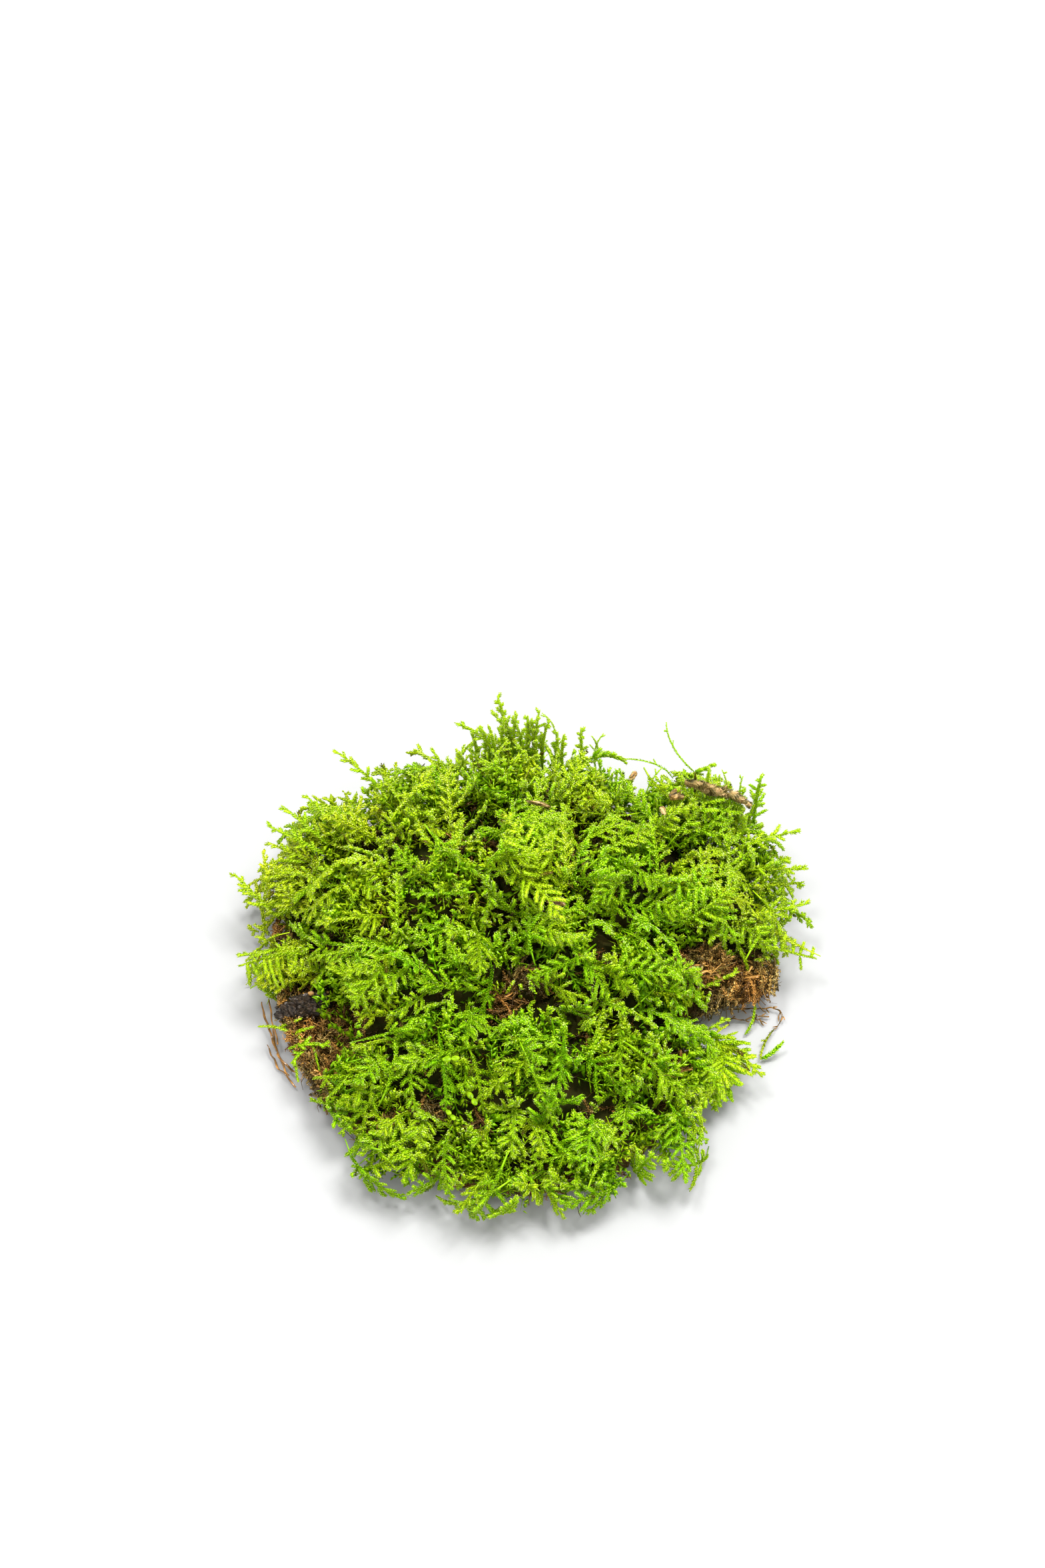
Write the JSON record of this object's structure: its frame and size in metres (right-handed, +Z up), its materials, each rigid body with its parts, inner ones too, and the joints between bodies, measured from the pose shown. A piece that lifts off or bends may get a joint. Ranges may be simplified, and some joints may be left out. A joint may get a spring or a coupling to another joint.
{
  "type": "moss clump",
  "caption": "Clump of feather moss: green tufts and fronds on a felted brown mat of old growth that rests flat, with forest litter caught in it.",
  "frame": {"origin": "middle of the flat underside of the brown mat", "axes": "+X right and +Y back as the picture sees the clump, +Z up from the underside"},
  "size_m": [0.1021, 0.0874, 0.031],
  "materials": {
    "living_moss": "wet",
    "shoot_tips": "wet",
    "old_growth": "matte",
    "rotted_wood": "wet",
    "dry_litter": "matte",
    "seed_leaf": "satin"
  },
  "bodies": {
    "root": {"bark_flake_back": "dry_litter", "bark_sliver_crown": "dry_litter", "bark_sliver_heart": "dry_litter", "dead_stem": "dry_litter", "frond_back_left_tip": "shoot_tips", "frond_back_right_tip": "shoot_tips", "frond_crest_left": "shoot_tips", "frond_crest_right": "shoot_tips", "frond_crest_tall": "shoot_tips", "frond_left_hanging": "shoot_tips", "frond_left_patch": "shoot_tips", "frond_left_reach": "shoot_tips", "frond_left_tip": "shoot_tips", "frond_left_upper": "shoot_tips", "frond_right_front": "shoot_tips", "frond_right_long": "shoot_tips", "frond_right_reach": "shoot_tips", "frond_right_tip": "shoot_tips", "frond_right_upper": "shoot_tips", "humus_lump": "rotted_wood", "leaf_scrap_bay": "dry_litter", "old_growth_mat": "old_growth", "root_strand_right": "old_growth", "seedling_bright": "seed_leaf", "seedling_fallen": "seed_leaf", "seedling_small": "seed_leaf", "shoot_back_bay": "shoot_tips", "shoot_floor_sprig": "shoot_tips", "shoot_whip": "shoot_tips", "straw_left": "dry_litter", "tuft_back_crest": "living_moss", "tuft_back_left": "living_moss", "tuft_back_left_edge": "living_moss", "tuft_back_right": "living_moss", "tuft_crown": "living_moss", "tuft_crown_left": "living_moss", "tuft_crown_right": "living_moss", "tuft_front_left": "living_moss", "tuft_front_middle": "living_moss", "tuft_front_right": "living_moss", "tuft_heart": "living_moss", "tuft_heart_left": "living_moss", "tuft_left_edge": "living_moss", "tuft_left_front": "living_moss", "tuft_left_heart": "living_moss", "tuft_left_middle": "living_moss", "tuft_left_shoulder": "living_moss", "tuft_right_back": "living_moss", "tuft_right_edge": "living_moss", "tuft_right_front": "living_moss", "tuft_right_heart": "living_moss", "tuft_right_middle": "living_moss", "tuft_right_shoulder": "living_moss", "tuft_rim_far_right": "living_moss", "tuft_rim_left": "living_moss", "tuft_rim_middle": "living_moss", "tuft_rim_right": "living_moss"}
  },
  "joints": []
}
